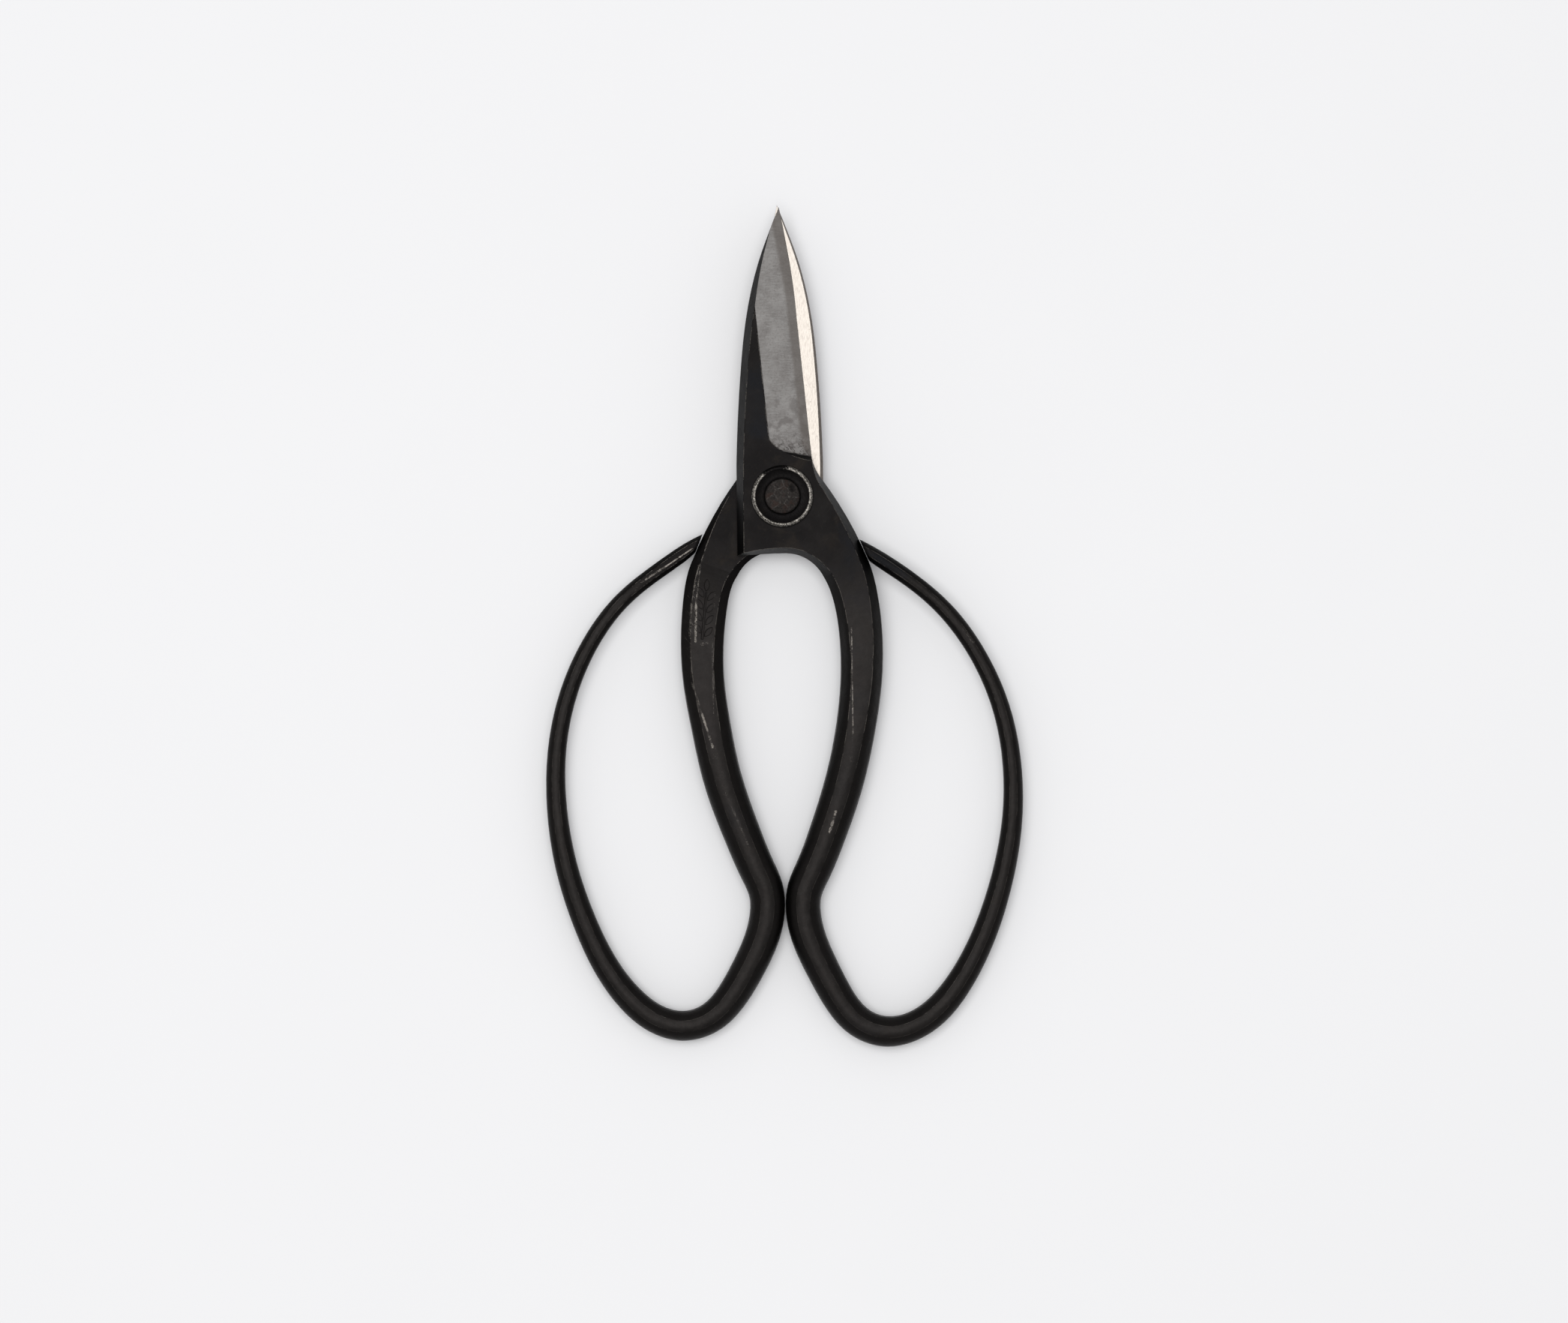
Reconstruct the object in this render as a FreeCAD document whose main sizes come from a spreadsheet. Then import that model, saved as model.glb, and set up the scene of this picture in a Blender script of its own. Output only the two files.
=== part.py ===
"""Forged floral snips with large finger bows, as a parametric FreeCAD document, in millimetres.

Two forged halves cross at one rivet. Each half is a single forging: a blade ground on its outer side, a flat
pivot plate with tapered sides, and a bow drawn down from a faceted shank to a thin round rod that curls back
to the shank. A layer of hard cutting steel is forge-welded to the inner face of each blade. The rivet is
peened over a dished washer on each side.

Row frame: the rivet's axis is Z, the blades point along +Y, and Z = 0 is the flat rear end of the rivet.
Both halves are drawn in one forging frame: origin on the pivot at the inner face, blade up and to the left,
bow to the right, outer side up. The rear half is that shape turned half a turn about Y.
"""

import FreeCAD, Part
import math
import os

from FreeCAD import Placement, Rotation, Vector

# ---------------------------------------------------------------------------------------------- dimensions

DIMENSIONS = [
    ("plate_thick", 4.2, "thickness of the pivot plate and of the blade's spine"),
    ("face_chamfer_high", 0.8, "height of the chamfer round the inner face"),
    ("side_high", 1.2, "height where the upright side ends and the tapered side starts"),
    ("half_gap", 0.05, "clearance between each inner face and the middle plane"),
    ("edge_land", 0.15, "thickness left at the cutting edge"),
    ("bevel_angle", 25.0, "slope of the ground bevel, degrees"),
    ("edge_heading", 5.75, "lean of the straight cutting edge from +Y, degrees"),
    ("edge_heel_x", 6.35, "heel of the straight cutting edge"),
    ("edge_heel_y", 8.25, "heel of the straight cutting edge"),
    ("tip_heading", 10.3, "lean of the cutting edge near the tip, degrees"),
    ("tip_start_x", 2.72, "where the tip's own bevel starts on the edge"),
    ("tip_start_y", 44.0, "where the tip's own bevel starts on the edge"),
    ("plunge_turn", 15.0, "turn of the bevel's lower end, degrees"),
    ("plunge_radius", 4.0, "radius where the bevel runs out below"),
    ("plunge_drop", 1.2, "how far the bevel runs below the edge's heel"),
    ("steel_thick", 0.8, "thickness of the forge-welded cutting steel"),
    ("steel_end", 4.2, "height above the pivot where the steel layer ends"),
    ("steel_turn", 12.5, "turn of the steel layer's lower end, degrees"),
    ("hollow_deep", 0.15, "depth of the hollow ground in the inner face"),
    ("hollow_across", 110.0, "radius of that hollow across the blade"),
    ("hollow_along", 1400.0, "radius of that hollow along the blade"),
    ("hollow_x", -1.9, "middle of the hollow"),
    ("hollow_y", 30.0, "middle of the hollow"),
    ("rivet_radius", 3.0, "shank of the rivet"),
    ("running_clearance", 0.05, "radial clearance of the half that turns on the rivet"),
    ("fixed_clearance", 0.01, "radial clearance of what the rivet clamps"),
    ("head_radius", 3.75, "both heads of the rivet"),
    ("head_high", 1.1, "height of a head above the washer's floor"),
    ("head_flat", 1.7, "radius of the head's middle facet"),
    ("head_drop", 0.28, "how much lower the head's rim facets lie"),
    ("washer_radius", 6.6, "outside of a washer"),
    ("washer_rim", 6.15, "outer edge of the rim's top"),
    ("washer_dish", 5.75, "inner edge of the rim's top"),
    ("washer_seat", 4.3, "outer edge of the washer's floor"),
    ("washer_high", 1.25, "height of the washer's rim"),
    ("washer_floor", 0.75, "height of the washer's floor"),
    ("washer_side", 0.75, "height of the washer's upright side"),
    ("washer_gap", 0.03, "clearance between the front washer and the half that turns"),
    ("rear_shift_x", 1.0, "how far the rear forging is moved over its rivet hole"),
    ("rear_shift_y", 0.45, "how far the rear forging is moved over its rivet hole"),
    ("stamp_deep", 0.25, "depth of the stamped sprig"),
]

doc = FreeCAD.newDocument("floral_snips")
sheet = doc.addObject("Spreadsheet::Sheet", "dims")
for row, (alias, value, note) in enumerate(DIMENSIONS, start=1):
    sheet.set(f"A{row}", alias)
    sheet.set(f"B{row}", str(value))
    sheet.set(f"C{row}", note)
    sheet.setAlias(f"B{row}", alias)
doc.recompute()


def size(alias):
    """The value of one cell of the sheet."""
    return float(getattr(sheet, alias))


def bind(obj, **expressions):
    """Binds properties of obj to expressions in which every name is a cell of the sheet."""
    names = sorted((alias for alias, _, _ in DIMENSIONS), key=len, reverse=True)
    for prop, text in expressions.items():
        words = text.split(" ")
        bound = [f"dims.{w}" if w in names else w for w in words]
        obj.setExpression(prop.replace("__", "."), " ".join(bound))


# ------------------------------------------------------------------------------------------- forging outline

# Four stretches of outline are smooth curves through their points, and the others are straight.
# SIDE is the widest outline, LAND is the flat outer face, and FACE is the flat inner face.
SIDE = {
    "spine": [
        (-0.4, 62.2), (-1.65, 58.6), (-3.95, 52.5), (-6.25, 44.5),
        (-7.7, 36.6), (-8.7, 27.0), (-9.35, 17.3), (-9.75, 7.0),
    ],
    "flank": [(-9.75, 7.0), (-9.7, -12.6)],
    "crotch": [
        (-9.7, -12.6), (-5.5, -12.3), (-1.0, -12.1), (2.3, -12.25),
        (5.15, -13.35), (7.05, -14.85), (8.7, -17.1625),
    ],
    "root": [(8.7, -17.1625), (18.2, -13.6)],
    "shoulder": [(18.2, -13.6), (16.4, -9.5), (13.8, -4.5), (8.8, 3.25)],
    "heel": [(8.8, 3.25), (7.2, 5.7), (6.35, 8.25)],
    "edge": [(6.35, 8.25), (3.3, 38.5)],
    "point": [(3.3, 38.5), (2.25, 48.0), (1.35, 53.5), (-0.4, 62.2)],
}
LAND = {
    "spine": [
        (0.2, 59.4), (-0.3, 58.0), (-2.5, 52.0), (-4.8, 44.1),
        (-6.2, 36.4), (-7.2, 26.9), (-7.85, 17.3), (-8.25, 7.0),
    ],
    "flank": [(-8.25, 7.0), (-8.3, -12.0)],
    "crotch": [
        (-8.3, -12.0), (-5.2, -11.4), (-1.2, -11.0), (2.2, -11.1),
        (5.4, -12.1), (8.3, -14.1), (10.4, -16.525),
    ],
    "root": [(10.4, -16.525), (16.6, -14.2)],
    "shoulder": [(16.6, -14.2), (14.8, -9.9), (12.3, -4.8), (7.9, 2.6)],
    "heel": [(7.9, 2.6), (6.8, 5.3), (6.35, 8.25)],
    "edge": [(6.35, 8.25), (3.3, 38.5)],
    "point": [(3.3, 38.5), (2.25, 48.0), (1.35, 53.5), (0.2, 59.4)],
}
FACE = {
    "spine": [
        (-0.3, 61.9), (-1.4, 58.5), (-3.6, 52.4), (-5.85, 44.4),
        (-7.25, 36.5), (-8.2, 26.95), (-8.8, 17.3), (-9.15, 7.0),
    ],
    "flank": [(-9.15, 7.0), (-9.1, -12.0)],
    "crotch": [
        (-9.1, -12.0), (-5.4, -11.6), (-1.0, -11.3), (2.3, -11.4),
        (5.5, -12.3), (8.2, -14.2), (10.2, -16.6),
    ],
    "root": [(10.2, -16.6), (16.52, -14.23)],
    "shoulder": [(16.52, -14.23), (15.0, -9.9), (12.9, -4.9), (8.3, 2.9)],
    "heel": [(8.3, 2.9), (6.95, 5.5), (6.35, 8.25)],
    "edge": [(6.35, 8.25), (3.3, 38.5)],
    "point": [(3.3, 38.5), (2.25, 48.0), (1.35, 53.5), (-0.3, 61.9)],
}


def stretch(points, height, shift):
    """One stretch of an outline at a height: a straight edge, or a smooth curve through the points."""
    at = [Vector(x + shift.x, y + shift.y, height) for x, y in points]
    if len(at) == 2:
        return Part.LineSegment(*at).toShape()
    curve = Part.BSplineCurve()
    curve.interpolate(Points=at)
    return curve.toShape()


def plate_solid(shift):
    """Blade and pivot plate before grinding: four stacked outlines joined by ruled faces."""
    stack = [
        (FACE, 0.0),
        (SIDE, size("face_chamfer_high")),
        (SIDE, size("side_high")),
        (LAND, size("plate_thick")),
    ]
    levels = [[stretch(outline[name], height, shift) for name in SIDE] for outline, height in stack]
    faces = [Part.Face(Part.Wire(levels[0])), Part.Face(Part.Wire(levels[-1]))]
    for low, high in zip(levels, levels[1:]):
        faces += [Part.makeRuledSurface(a, b) for a, b in zip(low, high)]
    shell = Part.makeShell(faces)
    shell.sewShape()
    solid = Part.makeSolid(shell)
    if solid.Volume < 0:
        solid.reverse()
    return solid


# ----------------------------------------------------------------------------------------------------- bows

# Each station is x, y, width, thickness, height of its middle, and roundness: 0 is the shank's eight flats
# and 1 is fully round. From the waist on, the bar is as thick as it is wide.
FRONT_BOW = [
    (15.6, -22.1, 9.5, 5.4, 1.45, 0.12),
    (16.6, -30.0, 9.2, 6.3, 0.75, 0.3),
    (16.6, -39.0, 8.9, 7.0, 0.3, 0.5),
    (15.4, -49.0, 8.5, 7.4, 0.05, 0.75),
    (13.0, -60.2, 8.3, 7.6, 0.0, 0.95),
    (9.0, -72.4, 8.0, 7.6, 0.0, 1.0),
    (5.9, -80.0, 7.8, 7.6, 0.0, 1.0),
    (4.15, -84.2, 7.6, 7.5, 0.0, 1.0),
    (3.8, -88.0, 7.45, 7.4, 0.0, 1.0),
    (4.6, -93.0, 7.4, 7.3, 0.0, 1.0),
    (8.1, -101.4, 7.1, 7.1, 0.0, 1.0),
    (11.1, -107.0, 6.9, 6.9, 0.0, 1.0),
    (15.2, -112.0, 6.7, 6.7, 0.0, 1.0),
    (21.1, -114.4, 6.55, 6.5, 0.0, 1.0),
    (27.4, -113.2, 6.2, 6.2, 0.0, 1.0),
    (32.7, -109.5, 6.0, 6.0, 0.0, 1.0),
    (36.7, -104.6, 5.7, 5.7, 0.0, 1.0),
    (42.7, -93.2, 5.2, 5.2, 0.0, 1.0),
    (46.6, -81.0, 4.8, 4.8, 0.0, 1.0),
    (48.7, -68.4, 4.35, 4.35, 0.0, 1.0),
    (48.7, -58.0, 4.05, 4.05, 0.0, 1.0),
    (46.6, -46.0, 3.8, 3.8, 0.0, 1.0),
    (41.8, -34.5, 3.6, 3.6, 0.1, 1.0),
    (34.4, -24.2, 3.5, 3.5, 0.4, 1.0),
    (26.9, -17.7, 3.4, 3.4, 0.8, 0.95),
    (21.8, -14.2, 3.4, 3.4, 1.1, 0.8),
]
REAR_BOW = [
    (16.55, -21.9, 9.6, 5.4, 1.45, 0.12),
    (17.3, -30.0, 9.25, 6.3, 0.75, 0.3),
    (17.1, -39.0, 8.85, 7.0, 0.3, 0.5),
    (15.6, -49.0, 8.45, 7.4, 0.05, 0.75),
    (13.25, -60.0, 8.3, 7.6, 0.0, 0.95),
    (9.1, -72.0, 8.0, 7.6, 0.0, 1.0),
    (5.9, -79.7, 7.8, 7.6, 0.0, 1.0),
    (4.15, -84.0, 7.6, 7.5, 0.0, 1.0),
    (3.8, -87.8, 7.45, 7.4, 0.0, 1.0),
    (4.6, -92.7, 7.4, 7.3, 0.0, 1.0),
    (8.2, -101.0, 7.1, 7.1, 0.0, 1.0),
    (11.5, -106.5, 6.85, 6.85, 0.0, 1.0),
    (16.0, -111.1, 6.55, 6.55, 0.0, 1.0),
    (22.1, -112.9, 6.4, 6.4, 0.0, 1.0),
    (28.3, -111.1, 6.15, 6.15, 0.0, 1.0),
    (33.2, -107.1, 5.9, 5.9, 0.0, 1.0),
    (37.2, -102.0, 5.6, 5.6, 0.0, 1.0),
    (42.9, -90.6, 5.15, 5.15, 0.0, 1.0),
    (46.8, -78.4, 4.75, 4.75, 0.0, 1.0),
    (48.7, -65.7, 4.3, 4.3, 0.0, 1.0),
    (48.7, -55.5, 4.0, 4.0, 0.0, 1.0),
    (46.5, -43.3, 3.8, 3.8, 0.0, 1.0),
    (41.7, -31.8, 3.6, 3.6, 0.1, 1.0),
    (34.2, -21.7, 3.45, 3.45, 0.4, 0.9),
    (28.0, -16.6, 3.4, 3.4, 0.8, 0.6),
    (23.0, -13.1, 3.4, 3.3, 1.1, 0.35),
]
# The end of each rod is cut off along the shank: the two ends of the cut, just clear of the shank's side.
FRONT_END = [(16.4, -9.2), (18.3, -13.6)]
REAR_END = [(17.15, -7.85), (18.65, -11.6)]
END_THICK = 3.1
END_HEIGHT = 1.25
END_CORNER = 0.28
END_ROUND = {"front": 0.8, "rear": 0.35}
# Share of a shank's width and thickness that its cut corners take.
CORNER_WIDE = 0.2
CORNER_THICK = 0.25
# The bow's surface is of this degree along its length, which keeps it even from station to station.
LOFT_DEGREE = 5


def octagon(width, thick, cut_x, cut_z):
    """Eight corners of a bar's section, from the lower left, with its corners cut by cut_x and cut_z."""
    x, z = width / 2, thick / 2
    right = [(x - cut_x, -z), (x, -z + cut_z), (x, z - cut_z), (x - cut_x, z)]
    return [(-x + cut_x, -z)] + right + [(-x + cut_x, z), (-x, z - cut_z), (-x, -z + cut_z)]


def section_wire(centre, across, corners, width, thick, roundness):
    """A closed section of eight curves through corners, flat at roundness 0 and an ellipse's arcs at 1."""
    up = Vector(0, 0, 1)
    turn = math.radians(45)
    pull = 4 / 3 * math.tan(turn / 4)
    first = math.radians(-112.5)
    edges = []

    def place(x, z):
        return centre + across * x + up * z

    for k in range(8):
        ends, pulls = [], []
        for j, way in ((k, 1), ((k + 1) % 8, -1)):
            angle = first + turn * j
            ring = (width / 2 * math.cos(angle), thick / 2 * math.sin(angle))
            along = (-width / 2 * math.sin(angle), thick / 2 * math.cos(angle))
            point = [(1 - roundness) * c + roundness * r for c, r in zip(corners[j], ring)]
            ends.append(point)
            pulls.append([way * pull * a for a in along])
        flat = [(b - a) / 3 for a, b in zip(*ends)]
        start = [p + (1 - roundness) * f + roundness * q for p, f, q in zip(ends[0], flat, pulls[0])]
        stop = [p - (1 - roundness) * f + roundness * q for p, f, q in zip(ends[1], flat, pulls[1])]
        curve = Part.BezierCurve()
        curve.setPoles([place(*ends[0]), place(*start), place(*stop), place(*ends[1])])
        edges.append(curve.toBSpline().toShape())
    return Part.Wire(edges)


def bow_solid(stations, end, end_round, shift):
    """The bow: one smooth loft from the plate's root face, through its stations, to the rod's cut end."""
    thick = size("plate_thick")
    inner, outer = [Vector(x, y, 0) + shift for x, y in SIDE["root"]]
    across = (outer - inner).normalize()
    middle = (inner + outer) * 0.5

    def along_root(outline, height):
        return [((Vector(x, y, 0) + shift - middle).dot(across), height) for x, y in outline["root"]]

    face, land = along_root(FACE, 0.0), along_root(LAND, thick)
    low = along_root(SIDE, size("face_chamfer_high"))
    high = along_root(SIDE, size("side_high"))
    corners = [face[0], face[1], low[1], high[1], land[1], land[0], high[0], low[0]]
    wires = [section_wire(middle, across, corners, 1, 1, 0)]

    cut_a, cut_b = [Vector(x, y, 0) for x, y in end]
    finish = (cut_a + cut_b) * 0.5
    path_points = [middle] + [Vector(x, y, 0) for x, y, *_ in stations] + [finish]
    path = Part.BSplineCurve()
    path.interpolate(Points=path_points)
    root_shape = [(x, z - thick / 2) for x, z in corners]
    for x, y, width, high_now, rise, roundness in stations:
        point = Vector(x, y, 0)
        tangent = path.tangent(path.parameter(point))[0]
        side = Vector(-tangent.y, tangent.x, 0)
        scale_x = width / (outer - inner).Length
        scale_z = high_now / thick
        flats = [(a * scale_x, z * scale_z) for a, z in root_shape]
        even = octagon(width, high_now, width * CORNER_WIDE, high_now * CORNER_THICK)
        flats = [((f[0] + e[0]) / 2, (f[1] + e[1]) / 2) for f, e in zip(flats, even)]
        wires.append(section_wire(point + Vector(0, 0, rise), side, flats, width, high_now, roundness))
    end_side = (cut_a - cut_b).normalize()
    end_wide = (cut_b - cut_a).Length
    end_flats = octagon(end_wide, END_THICK, end_wide * END_CORNER, END_THICK * END_CORNER)
    finish += Vector(0, 0, END_HEIGHT)
    wires.append(section_wire(finish, end_side, end_flats, end_wide, END_THICK, end_round))
    return Part.makeLoft(wires, True, False, False, LOFT_DEGREE)


# -------------------------------------------------------------------------------------------- both forgings

X_AXIS, Y_AXIS, Z_AXIS = Vector(1, 0, 0), Vector(0, 1, 0), Vector(0, 0, 1)
GRIND_WIDE = 80.0
GRIND_LONG = 90.0
GRIND_HIGH = 20.0


def feature(name, shape):
    """A plain feature that holds a shape made by code."""
    obj = doc.addObject("Part::Feature", name)
    obj.Shape = shape
    return obj


def cut(name, base, tool):
    obj = doc.addObject("Part::Cut", name)
    obj.Base = base
    obj.Tool = tool
    doc.recompute()
    if obj.Shape.Volume >= base.Shape.Volume:
        raise RuntimeError(f"{name} takes nothing away")
    return obj


def common(name, base, tool):
    obj = doc.addObject("Part::Common", name)
    obj.Base = base
    obj.Tool = tool
    doc.recompute()
    return obj


def copy_of(name, obj):
    """A second user of obj, so that each boolean has objects of its own."""
    link = doc.addObject("Part::Compound", name)
    link.Links = [obj]
    return link


def grinder(name, heel, heading, drop, turn):
    """A box whose lower face is the bevel's plane through the cutting edge, rounded where it runs out."""
    box = doc.addObject("Part::Box", name + "_block")
    box.Length, box.Width, box.Height = GRIND_WIDE, GRIND_LONG, GRIND_HIGH
    doc.recompute()
    lower_end = [
        k for k, edge in enumerate(box.Shape.Edges, start=1)
        if all(vertex.Y == 0 and vertex.Z == 0 for vertex in edge.Vertexes)
    ]
    rounded = doc.addObject("Part::Fillet", name)
    rounded.Base = box
    rounded.Edges = [(k, size("plunge_radius"), size("plunge_radius")) for k in lower_end]
    slope = Rotation(Z_AXIS, heading) * Rotation(Y_AXIS, size("bevel_angle"))
    start = heel + slope.multVec(Vector(0, -drop, 0))
    turned = slope * Rotation(Z_AXIS, -turn)
    corner = start - turned.multVec(Vector(GRIND_WIDE / 2, 0, 0))
    rounded.Placement = Placement(corner, turned)
    return rounded


def hollow_wheel(name, shift):
    """A torus that grinds a very shallow oval hollow into the inner face of the blade."""
    wheel = doc.addObject("Part::Torus", name)
    bind(wheel, Radius1="hollow_along - hollow_across", Radius2="hollow_across")
    middle = Vector(size("hollow_x"), size("hollow_y"), size("hollow_deep") - size("hollow_along")) + shift
    wheel.Placement = Placement(middle, Rotation(Z_AXIS, size("edge_heading")) * Rotation(Y_AXIS, 90))
    return wheel


def steel_slab(name, shift):
    """The room taken by the cutting steel: everything near the inner face above the layer's end."""
    slab = doc.addObject("Part::Box", name)
    slab.Length, slab.Width = GRIND_WIDE, GRIND_LONG
    bind(slab, Height="steel_thick + 1")
    turned = Rotation(Z_AXIS, size("steel_turn"))
    corner = Vector(0, size("steel_end"), -1.0) + shift - turned.multVec(Vector(GRIND_WIDE / 2, 0, 0))
    slab.Placement = Placement(corner, turned)
    return slab


def ground_plate(side, shift, clearance):
    """Blade and pivot plate of one half: bored for the rivet, hollowed inside and ground outside."""
    plate = feature(f"{side}_plate", plate_solid(shift))
    drill = doc.addObject("Part::Cylinder", f"{side}_drill")
    bind(drill, Radius=f"rivet_radius + {clearance}", Height="plate_thick + 4")
    drill.Placement = Placement(Vector(0, 0, -2), Rotation())
    bored = cut(f"{side}_bored", plate, drill)
    hollowed = cut(f"{side}_hollowed", bored, hollow_wheel(f"{side}_hollow_wheel", shift))

    edge_high = size("edge_land")
    heel = Vector(size("edge_heel_x"), size("edge_heel_y"), edge_high) + shift
    tip = Vector(size("tip_start_x"), size("tip_start_y"), edge_high) + shift
    drop, turn = size("plunge_drop"), size("plunge_turn")
    long_bevel = grinder(f"{side}_bevel", heel, size("edge_heading"), drop, turn)
    tip_bevel = grinder(f"{side}_tip_bevel", tip, size("tip_heading"), GRIND_LONG / 3, 0)
    ground = cut(f"{side}_ground", hollowed, long_bevel)
    return cut(f"{side}_ground_tip", ground, tip_bevel)


def forging(side, stations, end, shift, clearance, place, punch=None):
    """One half in its place: the iron plate fused to its bow, and the layer of cutting steel."""
    plate = ground_plate(side, shift, clearance)
    steel_stock, iron_stock = [copy_of(f"{side}_{kind}_stock", plate) for kind in ("steel", "iron")]
    steel = common(f"{side}_cutting_steel", steel_stock, steel_slab(f"{side}_steel_slab", shift))
    iron = cut(f"{side}_iron", iron_stock, steel_slab(f"{side}_iron_slab", shift))
    bow = feature(f"{side}_bow", bow_solid(stations, end, END_ROUND[side], shift))
    if punch:
        bow = cut(f"{side}_stamped_bow", bow, punch)
    half = doc.addObject("Part::Fuse", f"{side}_half")
    half.Base = iron
    half.Tool = bow
    half.Placement = place
    steel.Placement = place
    doc.recompute()
    return half, steel


# -------------------------------------------------------------------------------------------- stamped sprig

SPRIG_LONG = 13.0
SPRIG_STEM = 0.5
LEAF_LONG = 2.6
LEAF_WIDE = 1.1
LEAF_LEAN = 35.0
LEAF_STEP = 2.6
LEAF_PAIRS = 4
STAMP_HIGH = 3.0
STAMP_PLACE = 0.25


def origin_plane(body, role):
    return next(part for part in body.Origin.OriginFeatures if part.Role == role)


def attached_sketch(body, name, role):
    sketch = body.newObject("Sketcher::SketchObject", name)
    sketch.AttachmentSupport = [(origin_plane(body, role), "")]
    sketch.MapMode = "FlatFace"
    return sketch


def closed_polygon(sketch, points):
    for a, b in zip(points, points[1:] + points[:1]):
        sketch.addGeometry(Part.LineSegment(Vector(*a, 0), Vector(*b, 0)), False)


def leaf(sketch, root, lean):
    """A leaf: two arcs that meet in a point at the root and at the tip."""
    along = Vector(math.sin(math.radians(lean)), math.cos(math.radians(lean)), 0)
    side = Vector(along.y, -along.x, 0)
    tip = root + along * LEAF_LONG
    for way in (1, -1):
        belly = root + along * (LEAF_LONG / 2) + side * (way * LEAF_WIDE / 2)
        sketch.addGeometry(Part.Arc(root, belly, tip), False)


def stamp(name):
    """The punch that leaves a small sprig of leaves: a stem, pairs of leaves and a leaf at the top."""
    punch = doc.addObject("PartDesign::Body", name)
    sprig = attached_sketch(punch, name + "_sketch", "XY_Plane")
    half = SPRIG_STEM / 2
    low, high = -SPRIG_LONG / 2, SPRIG_LONG / 2 - LEAF_LONG - 0.3
    closed_polygon(sprig, [(-half, low), (half, low), (half * 0.6, high), (-half * 0.6, high)])
    leaf(sprig, Vector(0, high + 0.3, 0), 0)
    for pair in range(LEAF_PAIRS):
        for way in (1, -1):
            root = Vector(way * (half + 0.2), low + 0.6 + LEAF_STEP * (pair + 0.25 * (way > 0)), 0)
            leaf(sprig, root, way * LEAF_LEAN)
    pad = punch.newObject("PartDesign::Pad", name + "_pad")
    pad.Profile = sprig
    pad.Length = STAMP_HIGH
    pad.Reversed = True
    doc.recompute()
    return punch


def placed_stamp(stations):
    """The punch, sunk into the inner side of the shank and parallel to that sloping side."""
    (x0, y0, _, thick0, rise0, _), (x1, y1, _, thick1, rise1, _) = stations[:2]
    low0, low1 = rise0 - thick0 / 2, rise1 - thick1 / 2
    slope = math.degrees(math.atan2(low0 - low1, y0 - y1))
    lean = math.degrees(math.atan2(x1 - x0, y0 - y1))
    middle = Vector(x0, y0, low0) * (1 - STAMP_PLACE) + Vector(x1, y1, low1) * STAMP_PLACE
    punch = stamp("sprig_punch")
    sunk = Vector(0, 0, size("stamp_deep"))
    punch.Placement = Placement(middle + sunk, Rotation(Z_AXIS, lean) * Rotation(X_AXIS, slope))
    return punch


# --------------------------------------------------------------------------------------- rivet and washers

REAR_FLOOR = size("head_high")
REAR_PLATE = REAR_FLOOR + size("washer_floor")
MIDDLE = REAR_PLATE + size("plate_thick") + size("half_gap")
FRONT_PLATE = MIDDLE + size("half_gap") + size("plate_thick")
FRONT_WASHER = FRONT_PLATE + size("washer_gap")
FRONT_FLOOR = FRONT_WASHER + size("washer_floor")
FRONT_TOP = FRONT_FLOOR + size("head_high")
FACETS = 6


def washer(name, seat, up):
    """A thick washer with a dished outer side and a bevelled rim; its flat side lies at height seat."""
    body = doc.addObject("PartDesign::Body", name)
    half = attached_sketch(body, name + "_profile", "XZ_Plane")
    bore = size("rivet_radius") + size("fixed_clearance")
    closed_polygon(half, [
        (bore, 0),
        (size("washer_radius"), 0),
        (size("washer_radius"), size("washer_side")),
        (size("washer_rim"), size("washer_high")),
        (size("washer_dish"), size("washer_high")),
        (size("washer_seat"), size("washer_floor")),
        (bore, size("washer_floor")),
    ])
    turned = body.newObject("PartDesign::Revolution", name + "_turned")
    turned.Profile = half
    turned.ReferenceAxis = (half, ["V_Axis"])
    turned.Angle = 360
    body.Placement = Placement(Vector(0, 0, seat), Rotation() if up else Rotation(X_AXIS, 180))
    return body


def rivet():
    """The rivet: a round shank with a low head at each end, hammered to a flat middle and six rim facets."""
    body = doc.addObject("PartDesign::Body", "rivet")
    half = attached_sketch(body, "rivet_profile", "XZ_Plane")
    shank, head = size("rivet_radius"), size("head_radius")
    closed_polygon(half, [
        (0, 0), (head, 0), (head, REAR_FLOOR), (shank, REAR_FLOOR),
        (shank, FRONT_FLOOR), (head, FRONT_FLOOR), (head, FRONT_TOP), (0, FRONT_TOP),
    ])
    turned = body.newObject("PartDesign::Revolution", "rivet_turned")
    turned.Profile = half
    turned.ReferenceAxis = (half, ["V_Axis"])
    turned.Angle = 360
    doc.recompute()
    plain = turned.Shape.Volume
    blows = []
    flat, drop, past = size("head_flat"), size("head_drop"), 1.0
    slope = drop / (head - flat)
    for label, top, way in (("front", FRONT_TOP, 1), ("rear", 0.0, -1)):
        side = attached_sketch(body, f"rivet_{label}_blow", "XZ_Plane")
        closed_polygon(side, [
            (flat, top),
            (head + past, top - way * slope * (head + past - flat)),
            (head + past, top + way * past),
            (flat, top + way * past),
        ])
        blow = body.newObject("PartDesign::Pocket", f"rivet_{label}_facet")
        blow.Profile = side
        blow.Midplane = True
        blow.Length = 4 * head
        blows.append(blow)
        doc.recompute()
    ring = body.newObject("PartDesign::PolarPattern", "rivet_facets")
    ring.Originals = blows
    ring.Axis = (half, ["V_Axis"])
    ring.Angle = 360
    ring.Occurrences = FACETS
    body.Tip = ring
    doc.recompute()
    if body.Shape.Volume >= plain:
        raise RuntimeError("the rivet's facets take nothing away")
    return body


# ------------------------------------------------------------------------------------------------- assembly

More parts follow.
